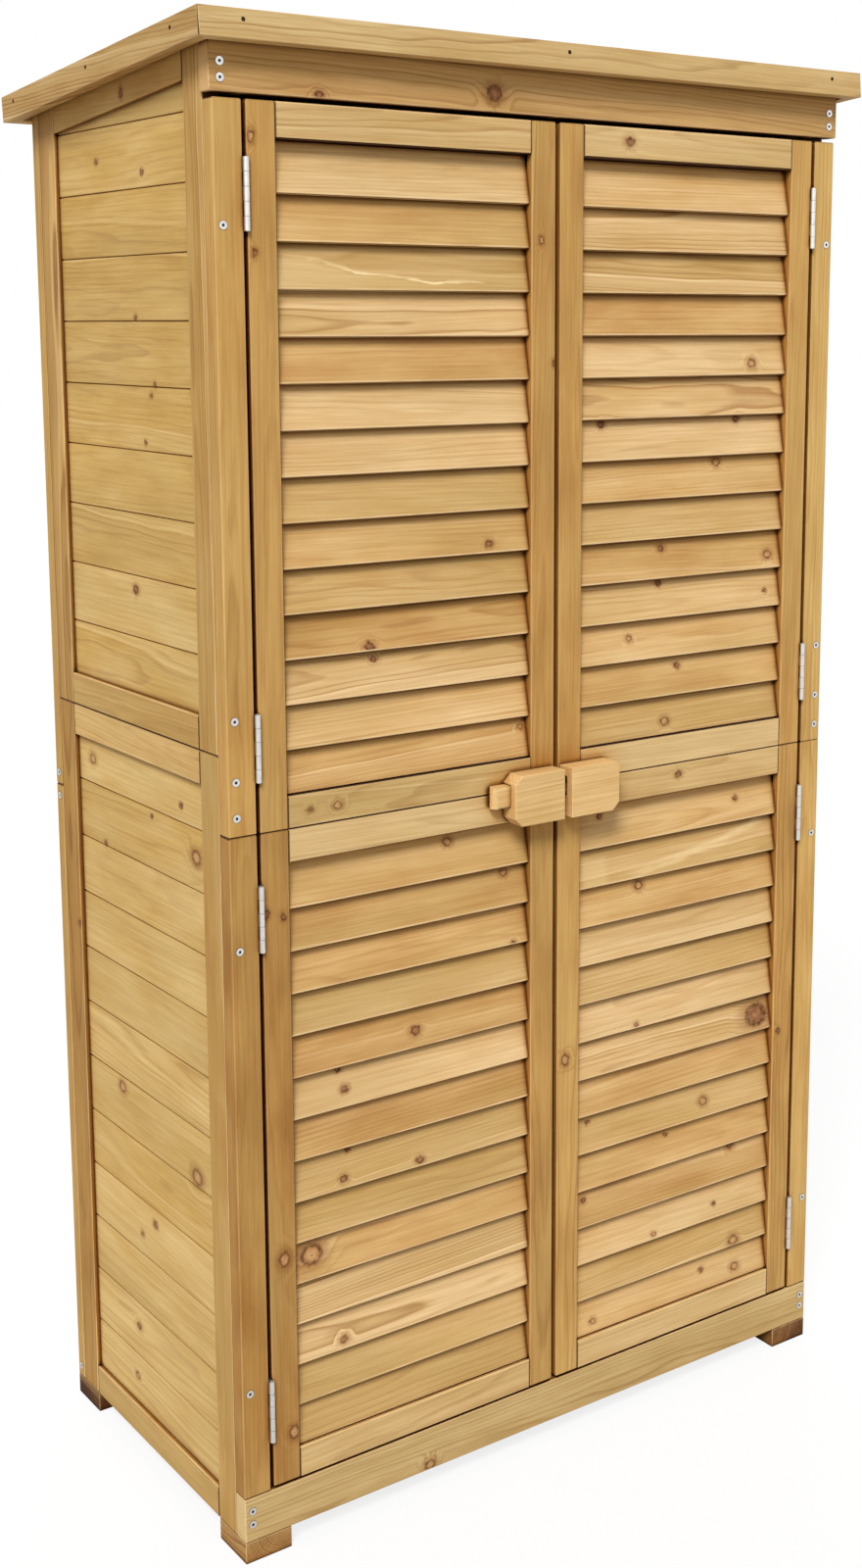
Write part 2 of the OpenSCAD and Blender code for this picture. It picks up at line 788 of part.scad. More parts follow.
module slats(z0, z1, grown = 0) {
  n = slat_count(z0, z1);
  pitch = slat_pitch(z0, z1);
  height = (pitch + slat_top_extra + slat_lap) / cos(slat_lean);
  reach = slat_housing + grown;
  intersection() {
    for (i = [0 : n - 1])
      translate([slat_x0 - reach, front_y + slat_recess, z0 + door_rail_h + i * pitch])
        rotate([-slat_lean, 0, 0]) translate([0, -grown, -grown])
          cube([slat_x1 - slat_x0 + 2 * reach, slat_t + 2 * grown, height + 2 * grown]);
    box([0, front_y - cut, z0 + door_rail_h - grown],
        [half_w, front_y + door_t, z1 - door_rail_h + grown]);
  }
}

module door_stiles(z0, z1) {
  color(honey) difference() {
    for (x = [door_x0, slat_x1]) box([x, front_y, z0], [x + door_stile_w, front_y + door_t, z1]);
    slats(z0, z1, joint_gap);
    for (z = hinge_z)
      box([door_x1 - mortise, front_y - cut, z - hinge_l / 2 - joint_gap],
          [door_x1 + cut, front_y + leaf_w + joint_gap, z + hinge_l / 2 + joint_gap]);
    right_hinge_door_screws(true);
    right_door_back_screws(true);
  }
}

module door_rails(z0, z1) {
  color(pale) difference() {
    for (z = [z0, z1 - door_rail_h])
      box([slat_x0, front_y, z], [slat_x1, front_y + door_t, z + door_rail_h]);
    right_door_back_screws(true);
  }
}

module door_slats(z0, z1) { color(pale) slats(z0, z1); }

module right_door_lower_stiles() { door_stiles(door_z0, front_seam); }
module right_door_lower_rails() { door_rails(door_z0, front_seam); }
module right_door_lower_slats() { door_slats(door_z0, front_seam); }
module right_door_upper_stiles() { door_stiles(front_seam, door_z1); }
module right_door_upper_rails() { door_rails(front_seam, door_z1); }
module right_door_upper_slats() { door_slats(front_seam, door_z1); }
module left_door_lower_stiles() { mirrored() right_door_lower_stiles(); }
module left_door_lower_rails() { mirrored() right_door_lower_rails(); }
module left_door_lower_slats() { mirrored() right_door_lower_slats(); }
module left_door_upper_stiles() { mirrored() right_door_upper_stiles(); }
module left_door_upper_rails() { mirrored() right_door_upper_rails(); }
module left_door_upper_slats() { mirrored() right_door_upper_slats(); }

// Latch

// Block with its outer corners cut off, its inner edge towards the other door, and a slot for the bolt
module latch_block(slot_to, top_chamfer) {
  h = block_h / 2;
  c = block_chamfer;
  t = top_chamfer;
  s = bolt_h / 2 + bolt_clear;
  color(pale) difference() {
    translate([0, front_y, block_z]) rotate([90, 0, 0]) linear_extrude(block_t)
      polygon([[block_x0, -h], [block_x1 - c, -h], [block_x1, c - h], [block_x1, h - t],
               [block_x1 - t, h], [block_x0, h]]);
    box([block_x0 - cut, front_y - bolt_t - 2 * bolt_clear, bolt_z - s],
        [slot_to, front_y + cut, bolt_z + s]);
    right_door_back_screws(true);
  }
}

module right_latch_block() { latch_block(slot_end, small_chamfer); }
module left_latch_block() { mirrored() latch_block(block_x1 + cut, block_chamfer); }

// Bolt with a rounded outer end, drawn back
module latch_bolt() {
  r = bolt_t / 2;
  color(pale) translate([0, front_y - bolt_clear - bolt_t, bolt_z - bolt_h / 2]) linear_extrude(bolt_h)
    union() {
      translate([bolt_start + r, r]) circle(r);
      translate([bolt_start + r, 0]) square([bolt_end - bolt_start - r, bolt_t]);
    }
}

feet();
floor_bearers();
floor_boards();
left_lower_side_frame();
left_lower_side_boards();
left_upper_side_frame();
left_upper_side_boards();
right_lower_side_frame();
right_lower_side_boards();
right_upper_side_frame();
right_upper_side_boards();
lower_back_frame();
lower_back_boards();
upper_back_frame();
upper_back_boards();
lower_left_front_stile();
upper_left_front_stile();
lower_right_front_stile();
upper_right_front_stile();
bottom_board();
header_board();
roof_battens();
roof_deck_boards();
roof_felt();
front_fascia();
back_fascia();
left_fascia();
right_fascia();
shelf_cleats();
lower_shelf_boards();
upper_shelf_boards();
frame_screws();
fascia_nails();
hinge_frame_leaves();
hinge_pins();
hinge_frame_screws();
left_door_lower_stiles();
left_door_lower_rails();
left_door_lower_slats();
left_door_upper_stiles();
left_door_upper_rails();
left_door_upper_slats();
left_door_hinge_leaves();
left_door_mending_plates();
left_door_screws();
left_latch_block();
right_door_lower_stiles();
right_door_lower_rails();
right_door_lower_slats();
right_door_upper_stiles();
right_door_upper_rails();
right_door_upper_slats();
right_door_hinge_leaves();
right_door_mending_plates();
right_door_screws();
right_latch_block();
latch_bolt();
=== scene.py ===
"""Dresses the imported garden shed: stained softwood, zinc fittings, roofing felt, studio and camera."""
import json
import math
import random

import bmesh
import bpy
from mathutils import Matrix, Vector

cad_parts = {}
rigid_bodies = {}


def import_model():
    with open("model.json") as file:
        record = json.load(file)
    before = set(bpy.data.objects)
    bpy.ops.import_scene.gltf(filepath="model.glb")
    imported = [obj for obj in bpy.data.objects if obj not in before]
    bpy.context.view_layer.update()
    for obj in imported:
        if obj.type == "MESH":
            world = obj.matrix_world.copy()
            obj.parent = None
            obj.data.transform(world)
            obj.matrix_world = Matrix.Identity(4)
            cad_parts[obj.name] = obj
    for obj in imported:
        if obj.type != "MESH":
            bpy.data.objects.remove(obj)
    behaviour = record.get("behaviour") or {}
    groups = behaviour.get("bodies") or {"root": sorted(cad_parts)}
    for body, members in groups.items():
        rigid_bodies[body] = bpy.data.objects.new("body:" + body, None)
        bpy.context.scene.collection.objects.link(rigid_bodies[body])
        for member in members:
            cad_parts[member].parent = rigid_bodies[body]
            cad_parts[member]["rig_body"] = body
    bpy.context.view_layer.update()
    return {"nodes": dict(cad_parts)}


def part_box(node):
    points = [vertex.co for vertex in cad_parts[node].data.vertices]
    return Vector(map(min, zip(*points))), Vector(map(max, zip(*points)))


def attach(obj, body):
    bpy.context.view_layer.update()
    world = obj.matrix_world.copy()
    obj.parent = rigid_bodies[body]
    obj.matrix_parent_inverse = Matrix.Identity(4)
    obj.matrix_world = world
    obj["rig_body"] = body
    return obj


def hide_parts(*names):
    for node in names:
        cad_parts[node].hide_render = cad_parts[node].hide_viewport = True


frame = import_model()
cad = frame["nodes"]
bpy.ops.object.select_all(action="DESELECT")

# ---- Camera ----
# A hand-held picture from the left, a little above the latch, with the upright edges kept
# nearly parallel by the shift. The lens fits a frame of 880 by 1600.
camera_dip, camera_turn = 9.28, 36.074  # degrees down and to the right
focal_px, frame_px, sensor_mm = 2003, 1600, 36  # along the longer side of the frame
bpy.ops.object.camera_add(
    location=(-1.3086, -1.9277, 1.3082),
    rotation=(math.radians(90 - camera_dip), 0, math.radians(-camera_turn)),
)
camera = bpy.context.object
camera.name = "camera"
camera.data.sensor_width = sensor_mm
camera.data.lens = sensor_mm * focal_px / frame_px
camera.data.shift_x = -0.0509
camera.data.shift_y = -0.0889
camera.data.clip_end = 60
bpy.context.scene.camera = camera
camera.select_set(False)


# ---- Feet ----
# Four sawn pads of fir, screwed up under the corners. They stand in the wet, so they carry
# the darkest stain of the shed and a furry sawn grain.
def linear(code):
    """The linear colour of an sRGB hex value."""
    parts = [int(code[i : i + 2], 16) / 255 for i in (1, 3, 5)]
    return (*[c / 12.92 if c <= 0.04045 else ((c + 0.055) / 1.055) ** 2.4 for c in parts], 1)


def add_node(tree, kind, inputs=None, out=0, stops=None, **settings):
    """Adds a shader node with its settings, its inputs and its ramp's stops. An input is named or
    numbered as on the node, and is a number, a hex colour or another node's output. A MapRange
    takes the span from 1 to 2 to the span from 3 to 4, and a Mix takes colour 6 towards 7 by 0."""
    node = tree.nodes.new("ShaderNode" + kind)
    for key, value in settings.items():
        setattr(node, key, value)
    for key, value in (inputs or {}).items():
        if isinstance(value, bpy.types.NodeSocket):
            tree.links.new(value, node.inputs[key])
        else:
            node.inputs[key].default_value = linear(value) if isinstance(value, str) else value
    if stops:
        ramp = node.color_ramp
        while len(ramp.elements) < len(stops):
            ramp.elements.new(1)
        for element, (place, shade) in zip(ramp.elements, stops):
            element.position = place
            element.color = linear(shade) if isinstance(shade, str) else (shade, shade, shade, 1)
    return node.outputs[out]


# What a Mix node needs to cover one colour with another, and to darken it with another.
cover = {"out": 2, "data_type": "RGBA"}
darken = {**cover, "blend_type": "MULTIPLY"}


def blank_material(name):
    """A new material with no nodes, and its tree."""
    material = bpy.data.materials.new(name)
    material.use_nodes = True
    material.node_tree.nodes.clear()
    return material, material.node_tree


def stained_softwood(
    name, pale, honey, brown, rings=3.4, contrast=0.5, knots=(), ringed=(), face="front",
    upright=False, joint=1.0,
):
    """Planed fir under a thin honey stain. Its rings are cut by the saw at an angle, so each
    board shows long streaks or arches, with fine fibres, cloudy stain and brown knots.

    pale, honey and brown are the stain from thin to thick, rings a year's growth in mm, contrast
    how dark its summer wood is, and joint how much painted shade darkens the wood near its
    neighbours, in joints and under overhangs. knots and ringed list the dead and the live knots as
    across, up and radius in mm. face is the side of the shed they are on, "front" or "side", and
    upright says that the boards stand."""
    material, tree = blank_material(name)
    # "grain" runs in metres along, across and through the board, measured from the heart of its
    # tree. "stain" holds the board's tone, its olive cast and how bold its rings are.
    grain = add_node(tree, "Attribute", out="Vector", attribute_name="grain")
    board = add_node(tree, "Attribute", out="Vector", attribute_name="stain")
    tone = add_node(tree, "SeparateXYZ", {0: board}, out="X")
    ageing = add_node(tree, "SeparateXYZ", {0: board}, out="Y")
    bold = add_node(tree, "SeparateXYZ", {0: board}, out="Z")
    arris = add_node(tree, "Attribute", out="Fac", attribute_name="arris")
    end = add_node(tree, "Attribute", out="Fac", attribute_name="end")
    # Patterns stretched along the board, by how often they repeat in a metre of its length, its
    # width and its depth. The fibres are drawn coarser than life, so that they show.
    patterns = []
    for repeats, detail, roughness in (
        ((4.5, 24, 24), 2, 0.5),  # rings that wander 4 mm over a hand's length
        ((7, 330, 330), 4, 0.72),  # fibres 1 to 3 mm wide and about 150 mm long
        ((8, 24, 24), 3, 0.5),  # stain that sinks in unevenly over a few centimetres
        ((3, 16, 16), 2, 0.5),  # patches a hand wide where the stain has aged to olive
        ((26, 60, 60), 2, 0.5),  # painted highlight and wear on the corners, stronger here than there, a thumb wide
    ):
        stretched = add_node(tree, "VectorMath", {0: grain, 1: repeats}, operation="MULTIPLY")
        look = {"Vector": stretched, "Scale": 1, "Detail": detail, "Roughness": roughness}
        patterns.append(add_node(tree, "TexNoise", look))
    wander, fibre, cloud, patch, uneven = patterns
    # Growth rings, round the heart of the tree.
    sides = add_node(tree, "VectorMath", {0: grain, 1: (0, 1, 1)}, operation="MULTIPLY")
    radius = add_node(tree, "VectorMath", {0: sides}, out="Value", operation="LENGTH")
    ring = add_node(tree, "Math", {0: radius, 1: 1000 / rings}, operation="MULTIPLY")
    ring = add_node(tree, "Math", {0: wander, 1: 3.2, 2: ring}, operation="MULTIPLY_ADD")
    if knots or ringed:
        # Each knot is an oval, longer along the grain, and a fine noise frays its edge. The noise
        # is never negative and pushes all one way, so the centres go with it by half its reach.
        fray_mm = 6
        squeeze = (1, 0, 0.72) if upright else (0.8, 0, 1)
        if face == "side":
            squeeze = (0, squeeze[0], squeeze[2])
        place = add_node(tree, "TexCoord", out="Object")
        speck = add_node(tree, "TexNoise", {"Vector": place, "Scale": 190, "Detail": 3})
        fray = add_node(tree, "TexNoise", {"Vector": place, "Scale": 210, "Detail": 2}, out="Color")
        reach = (fray_mm / 1000,) * 3
        place = add_node(tree, "VectorMath", {0: fray, 1: reach, 2: place}, operation="MULTIPLY_ADD")
        place = add_node(tree, "VectorMath", {0: place, 1: squeeze}, operation="MULTIPLY")
        fields = []
        for kind in (knots, ringed):
            near = None
            for across, height, size in kind:
                across, height = across + fray_mm / 2, height + fray_mm / 2
                centre = (across, 0, height) if face == "front" else (0, across, height)
                centre = [c * s / 1000 for c, s in zip(centre, squeeze)]
                far = add_node(tree, "VectorMath", {0: place, 1: centre}, out="Value", operation="DISTANCE")
                far = add_node(tree, "Math", {0: far, 1: size / 1000}, operation="DIVIDE")
                near = far if near is None else add_node(tree, "Math", {0: near, 1: far}, operation="MINIMUM")
            fields.append(near)
            if near:
                # The rings bulge round the knot.
                span = {0: near, 1: 0.6, 2: 3.6, 3: 1.5, 4: 0}
                bulge = add_node(tree, "MapRange", span, interpolation_type="SMOOTHERSTEP")
                ring = add_node(tree, "Math", {0: ring, 1: bulge}, operation="ADD")
    # Summer wood: a thin dark line at the end of each ring, stronger in some years than in others.
    year = add_node(tree, "Math", {0: ring}, operation="FRACT")
    course = [(0, 0.0), (0.6, 0.08), (0.86, 0.95), (0.94, 0.9), (1, 0.0)]
    summer = add_node(tree, "ValToRGB", {0: year}, stops=course)
    strength = add_node(tree, "TexNoise", {"W": ring, "Scale": 0.47, "Detail": 1}, noise_dimensions="1D")
    strength = add_node(tree, "MapRange", {0: strength, 1: 0.3, 2: 0.7, 3: 0.15, 4: 1})
    summer = add_node(tree, "Math", {0: summer, 1: strength}, operation="MULTIPLY")
    # The stain's tone, cloud by cloud, its olive patches, and the summer wood over both.
    cloud = add_node(tree, "MapRange", {0: cloud, 1: 0.25, 2: 0.75, 3: -0.3, 4: 0.3})
    tone = add_node(tree, "Math", {0: tone, 1: cloud}, operation="ADD")
    colour = add_node(tree, "ValToRGB", {0: tone}, stops=[(0, pale), (0.5, honey), (1, brown)])
    patch = add_node(tree, "MapRange", {0: patch, 1: 0.4, 2: 0.75, 3: 0, 4: 0.5})
    ageing = add_node(tree, "Math", {0: ageing, 1: patch}, operation="ADD", use_clamp=True)
    colour = add_node(tree, "Mix", {0: ageing, 6: colour, 7: "#c0a164"}, **cover)
    depth = add_node(tree, "Math", {0: bold, 1: contrast}, operation="MULTIPLY")
    depth = add_node(tree, "Math", {0: summer, 1: depth}, operation="MULTIPLY")
    colour = add_node(tree, "Mix", {0: depth, 6: colour, 7: "#b48f60"}, **darken)
    # Every 30 mm or so one ring shows as a pale thread, with wood that fades back on one side of it.
    flame = add_node(tree, "Math", {0: ring, 1: 0.1 * rings / 3.4}, operation="MULTIPLY")
    flame = add_node(tree, "Math", {0: flame}, operation="FRACT")
    course = [(0, 0.0), (0.015, 1.0), (0.04, 0.9), (0.07, 0.4), (0.5, 0.0)]
    flame = add_node(tree, "ValToRGB", {0: flame}, stops=course)
    flame = add_node(tree, "Math", {0: flame, 1: 0.55}, operation="MULTIPLY")
    flame = add_node(tree, "Math", {0: flame, 1: bold}, operation="MULTIPLY", use_clamp=True)
    colour = add_node(tree, "Mix", {0: flame, 6: colour, 7: pale}, **cover)
    thread = add_node(tree, "MapRange", {0: fibre, 1: 0.35, 2: 0.7, 3: 0, 4: 0.45})
    colour = add_node(tree, "Mix", {0: thread, 6: colour, 7: "#cdb08a"}, **darken)
    if knots or ringed:
        # Dark knots are dead branches, brown right through; ringed ones are live, with a small
        # dark pith, honey-brown wood and a thin dark rim. Both have browner wood round them and
        # specks of the board's own colour.
        looks = (
            ((0, "#a4744a"), (0.4, "#87573a"), (0.75, "#693f27"), (0.95, "#3e2415")),
            ((0, "#6a4429"), (0.16, "#d0a672"), (0.55, "#bb8b58"), (0.84, "#643e22")),
        )
        speck = add_node(tree, "MapRange", {0: speck, 1: 0.4, 2: 0.56, 3: 0.55, 4: 0.97})
        for near, stops in zip(fields, looks):
            if near:
                span = {0: near, 1: 0.8, 2: 2.4, 3: 0.5, 4: 0}
                halo = add_node(tree, "MapRange", span, interpolation_type="SMOOTHSTEP")
                colour = add_node(tree, "Mix", {0: halo, 6: colour, 7: "#b08050"}, **darken)
                heart = add_node(tree, "ValToRGB", {0: near}, stops=stops)
                inside = add_node(tree, "MapRange", {0: near, 1: 0.85, 2: 1.15})
                inside = add_node(tree, "MapRange", {0: inside, 3: speck, 4: 0})
                colour = add_node(tree, "Mix", {0: inside, 6: colour, 7: heart}, **cover)
    # Sawn ends are paler than the faces. Corners carry a painted highlight with some wear, and corners
    # in tight joints, under the slats' edges and at open gaps carry painted shade, up to nearly black.
    uneven = add_node(tree, "MapRange", {0: uneven, 1: 0.38, 2: 0.58, 3: 0.45, 4: 0.9})
    highlight_and_wear = add_node(tree, "Math", {0: arris, 1: uneven}, operation="MULTIPLY", use_clamp=True)
    colour = add_node(tree, "Mix", {0: highlight_and_wear, 6: colour, 7: "#f3d3a2"}, **cover)
    seam = add_node(tree, "MapRange", {0: arris, 1: 0, 2: -1, 3: 0, 4: 0.95})
    colour = add_node(tree, "Mix", {0: seam, 6: colour, 7: "#43230e"}, **cover)
    cut = add_node(tree, "Math", {0: end, 1: 0.55}, operation="MULTIPLY")
    colour = add_node(tree, "Mix", {0: cut, 6: colour, 7: pale}, **cover)
    # Painted shade near neighbouring parts, in joints and under overhangs: towards a neighbour 40 mm
    # away the colour turns a little browner, and within 7.5 mm of it, it deepens to a warm dark brown.
    far_painted_shade = add_node(tree, "AmbientOcclusion", {"Distance": 0.04}, out="AO", samples=6)
    far_painted_shade = add_node(tree, "MapRange", {0: far_painted_shade, 1: 0.5, 2: 1, 3: joint, 4: 0})
    colour = add_node(tree, "Mix", {0: far_painted_shade, 6: colour, 7: "#e2cfae"}, **darken)
    near_painted_shade = add_node(tree, "AmbientOcclusion", {"Distance": 0.0075}, out="AO", samples=6)
    span = {0: near_painted_shade, 1: 0.3, 2: 0.9, 3: joint, 4: 0}
    near_painted_shade = add_node(tree, "MapRange", span, interpolation_type="SMOOTHSTEP")
    painted_shade_gamma = add_node(tree, "MapRange", {0: near_painted_shade, 3: 1, 4: 1.9})
    colour = add_node(tree, "Gamma", {0: colour, 1: painted_shade_gamma})
    colour = add_node(tree, "Mix", {0: near_painted_shade, 6: colour, 7: "#653b20"}, **darken)
    # A nearly matt face, a little glossier on the hard summer wood, which lies below the fibres.
    rough = add_node(tree, "MapRange", {0: summer, 3: 0.66, 4: 0.52})
    height = add_node(tree, "Math", {0: summer, 1: -0.5, 2: fibre}, operation="MULTIPLY_ADD")
    bump = add_node(tree, "Bump", {"Height": height, "Strength": 0.35, "Distance": 0.0005})
    oiled = {"Base Color": colour, "Roughness": rough, "Normal": bump}
    shader = add_node(tree, "BsdfPrincipled", {**oiled, "IOR": 1.48, "Specular IOR Level": 0.14})
    tree.links.new(shader, tree.nodes.new("ShaderNodeOutputMaterial").inputs[0])
    return material


def saw_planks(
    node, material, arris=1.5, tone=0.5, spread=0.15, chosen=None, planes=2, heart_mm=(12, 50),
    seams=(), highlight_and_wear=0.45, wear_and_highlight_mm=0, gaps=(),
):
    """Copies the planks of a CAD node as one piece, rounds their long corners by arris mm and marks
    on each plank its grain, its stain, its sawn ends, and on its corners a painted highlight with
    wear or painted shade.

    The stain is drawn round tone, from 0, pale, to 1, brown, as widely as spread says, and chosen
    gives it for planks by number, as tone, olive cast and boldness of the rings. planes is on how
    many of the plank's outer planes an edge has to lie to be rounded, and heart_mm how far from
    its middle the heart of the tree was. seams names the tight joints, where the corners are
    painted black as shade: "ends", "all" or heights in mm. worn is how strong the corners' painted
    highlight and wear are, rub the width in mm of a band beside them with a weaker painted
    highlight and wear, and gaps the heights in mm of joints that stand open, where that band is
    painted black as the shade in the gap."""
    touching, shortest, stub = 0.0003, 0.004, 0.1  # metres, as are the CAD meshes
    sharp, flush_mm, broad_face = math.radians(30), 0.3, 0.002
    black, shady, dim, lip = -1.0, -0.8, -0.35, -0.25  # painted shade on corners, from the black of tight joints to a light lip
    mesh = cad[node].data.copy()
    mesh.materials.clear()
    whole = bpy.data.objects.new(node + "_wood", mesh)
    bpy.context.scene.collection.objects.link(whole)
    bpy.ops.object.select_all(action="DESELECT")
    whole.select_set(True)
    bpy.context.view_layer.objects.active = whole
    bpy.ops.mesh.customdata_custom_splitnormals_clear()
    bpy.ops.object.mode_set(mode="EDIT")
    bpy.ops.mesh.select_all(action="SELECT")
    bpy.ops.mesh.remove_doubles(threshold=0.00002)
    bpy.ops.mesh.dissolve_limited(angle_limit=math.radians(1))
    bpy.ops.mesh.separate(type="LOOSE")
    bpy.ops.object.mode_set(mode="OBJECT")
    boards = list(bpy.context.selected_objects)
    spans = {}
    for plank in boards:
        places = [v.co for v in plank.data.vertices]
        low = Vector([min(p[a] for p in places) for a in range(3)])
        high = Vector([max(p[a] for p in places) for a in range(3)])
        spans[plank.name] = (low, high)
    boards.sort(key=lambda b: (round(spans[b.name][0].z, 2), spans[b.name][0].x, spans[b.name][0].y))
    dice = random.Random(node)
    for count, plank in enumerate(boards):
        low, high = spans[plank.name]
        size = high - low
        long, wide, thick = sorted(range(3), key=lambda a: -size[a])
        deep = dice.choice((-1, 1)) * dice.uniform(*heart_mm) / 1000
        heart = Vector((0, dice.uniform(-0.6, 0.6) * size[wide], deep))
        drift = (dice.uniform(-0.03, 0.03), dice.uniform(-0.02, 0.02))
        start = dice.uniform(0, 40)
        stain = [dice.gauss(tone, spread), max(0, dice.gauss(-0.1, 0.2)), dice.uniform(0.3, 1.4)]
        if chosen and count in chosen:
            stain[: len(chosen[count])] = chosen[count]
        bpy.ops.object.select_all(action="DESELECT")
        plank.select_set(True)
        bpy.context.view_layer.objects.active = plank
        bpy.ops.object.mode_set(mode="EDIT")
        bpy.ops.mesh.select_mode(type="EDGE")
        bpy.ops.mesh.select_all(action="DESELECT")
        shape = bmesh.from_edit_mesh(plank.data)
        for edge in shape.edges:
            ends = [v.co for v in edge.verts]
            held = sum(
                all(abs(p[a] - side[a]) < touching for p in ends) for a in range(3) for side in (low, high)
            )
            outer = len(edge.link_faces) == 2 and edge.is_convex and held >= planes
            if outer and edge.calc_length() > shortest:
                edge.select = edge.calc_face_angle() > sharp
        bmesh.update_edit_mesh(plank.data)
        bpy.ops.mesh.bevel(offset=arris / 1000, segments=2, affect="EDGES", clamp_overlap=False)
        shape = bmesh.from_edit_mesh(plank.data)
        rounded = shape.faces.layers.float.new("arris")
        sawn = shape.faces.layers.float.new("end")
        grain = shape.verts.layers.float_vector.new("grain")
        dye = shape.verts.layers.float_vector.new("stain")
        for face in shape.faces:
            middle = face.calc_center_median()
            from_end = min(abs(middle[long] - low[long]), abs(middle[long] - high[long]))
            off_seam = min([abs(middle.z * 1000 - z) for z in seams if not isinstance(z, str)], default=99)
            tight = "all" in seams or ("ends" in seams and from_end < arris / 1000) or off_seam < arris
            width = face.calc_area() / max(e.calc_length() for e in face.edges)
            corner = face.select and width < arris / 1000
            broadside, endways = abs(face.normal[thick]) > 0.7, abs(face.normal[long]) > 0.7
            upward, downward, level = face.normal.z > 0.2, face.normal.z < -0.55, abs(face.normal.z) > 0.9
            # A corner gets a painted highlight with wear. In tight joints it is painted black as shade, with
            # a lighter lip on broad faces turned up to the light; on planks with a band, a corner facing down
            # is painted with shade, and a level face at a seam is painted black as shade.
            shade = highlight_and_wear if corner else 0.0
            if corner and tight:
                shade = lip if broadside and upward else black
            if corner and wear_and_highlight_mm and downward:
                shade = shady
            if off_seam < flush_mm and level:
                shade = black
            face[rounded] = shade
            face[sawn] = 1.0 if endways and size[long] > stub else 0.0
        if wear_and_highlight_mm:
            # The band of painted highlight and wear runs round each broad face that looks to the front.
            for face in shape.faces:
                forward = face.normal.y < -0.6
                face.select = face[rounded] == 0 and forward and face.calc_area() > broad_face
            bmesh.update_edit_mesh(plank.data)
            bpy.ops.mesh.inset(thickness=wear_and_highlight_mm / 1000, use_individual=True, use_select_inset=True)
            shape = bmesh.from_edit_mesh(plank.data)
            rounded = shape.faces.layers.float["arris"]
            grain = shape.verts.layers.float_vector["grain"]
            dye = shape.verts.layers.float_vector["stain"]
            for face in [face for face in shape.faces if face.select]:
                middle = face.calc_center_median()
                from_end = min(abs(middle[long] - low[long]), abs(middle[long] - high[long]))
                open_joint = any(abs(middle.z * 1000 - z) < arris + wear_and_highlight_mm for z in gaps)
                at_end = "ends" in seams and from_end < (arris + wear_and_highlight_mm) / 1000
                # The band is painted black as shade at an open gap and dim as shade near tight ends;
                # elsewhere it carries a weaker painted highlight with wear.
                face[rounded] = black if open_joint else dim if at_end else highlight_and_wear * 0.7
        for vert in shape.verts:
            away = vert.co - (low + high) / 2
            along = away[long]
            vert[grain] = (
                along + start,
                away[wide] + heart.y + drift[0] * along,
                away[thick] + heart.z + drift[1] * along,
            )
            vert[dye] = stain
        bmesh.update_edit_mesh(plank.data)
        bpy.ops.object.mode_set(mode="OBJECT")
    for plank in boards:
        plank.select_set(True)
    bpy.context.view_layer.objects.active = boards[0]
    if len(boards) > 1:
        bpy.ops.object.join()
    whole = bpy.context.object
    whole.name = node + "_wood"
    whole.data.materials.append(material)
    bpy.ops.object.shade_smooth_by_angle(angle=math.radians(50))
    whole.modifiers.new("even_normals", "WEIGHTED_NORMAL").keep_sharp = True
    bpy.ops.object.modifier_apply(modifier="even_normals")
    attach(whole, cad[node]["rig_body"])
    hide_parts(node)
    whole.select_set(False)
    return whole


foot_fir = stained_softwood("sawn_fir_dark_stain", "#c09a66", "#7a5233", "#4a2e1c", rings=2.6, contrast=0.9)
foot_stains = {0: (0.1, 0, 1.5), 1: (0.85, 0), 2: (0.58, 0)}
saw_planks("feet", foot_fir, arris=1.0, chosen=foot_stains)

# ---- Floor ----
# Two bearers lie on the feet, and six loose-laid boards on the bearers. Nobody sees them,
# so they are planed fir with only a thin coat.
inner_fir = stained_softwood("planed_fir_thin_coat", "#dfc084", "#cfa762", "#b78c4c")
saw_planks("floor_bearers", inner_fir, arris=1.0, tone=0.8)
saw_planks("floor_boards", inner_fir, arris=1.0)

# ---- Side panels ----
# Each side is a lower and an upper frame of fir with a stack of tongued boards held in its
# groove. The frames are browner than the boards, which show wide arches and ringed knots.
frame_fir = stained_softwood(
    "planed_fir_brown_stain", "#e4bf80", "#bf914c", "#a4773b", contrast=0.6, upright=True, face="side",
    knots=[(160.3, 615.9, 3), (-19.8, 1541.4, 4)],
)
board_fir = stained_softwood(
    "flat_sawn_fir_honey_stain", "#e3c486", "#d2ac64", "#b98f49", rings=4.5, contrast=0.33, face="side",
    knots=[
        (90.0, 726.9, 3), (-102.0, 809.3, 3), (-8.7, 304.3, 4.5), (25.8, 279.7, 3.5), (43.1, 159.2, 4),
        (-9.4, 1027.8, 5), (-31.2, 782.9, 2.5), (-28.3, 1314.6, 2.5), (-69.1, 1246.5, 2.5),
        (56.6, 1477.3, 3), (-52.6, 1460.5, 3), (-60, 1235, 2.5), (-44, 1186, 2.5),
    ],
    ringed=[(-134.0, 759.7, 8), (117.7, 819.8, 6), (-116.9, 400.5, 9), (66.9, 443.6, 6.5), (51.2, 93.3, 4)],
)
side_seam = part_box("left_lower_side_frame")[1][2] * 1000
